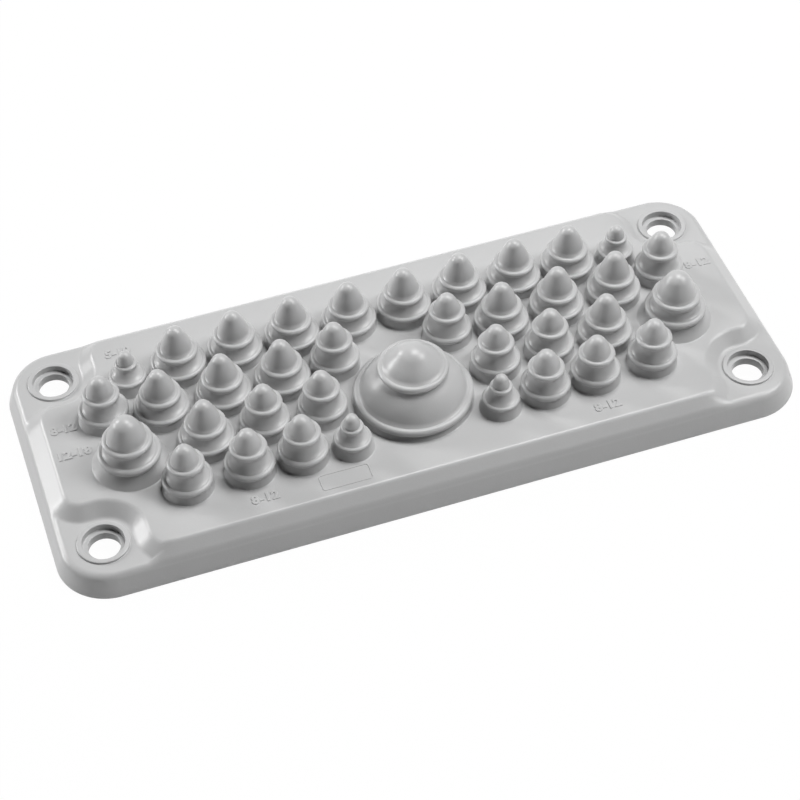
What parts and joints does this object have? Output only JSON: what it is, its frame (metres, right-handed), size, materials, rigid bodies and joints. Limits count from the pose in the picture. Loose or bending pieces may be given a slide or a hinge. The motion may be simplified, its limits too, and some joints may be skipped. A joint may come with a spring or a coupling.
{
  "type": "cable entry plate",
  "caption": "Flat moulded cable entry flange with a raised middle, stepped membrane nozzles for cables and a counterbored screw hole in each corner.",
  "frame": {"origin": "middle of the flat lip face that seats on the cabinet, under the middle of the plate", "axes": "+X along the plate, +Y across it towards the row of equal nozzles along the edge, +Z out of the cabinet, to the side that the nozzles stand on"},
  "size_m": [0.2212, 0.092, 0.0308],
  "materials": {
    "moulding": "semi_matte"
  },
  "bodies": {
    "root": {"entry_plate": "moulding"}
  },
  "joints": []
}
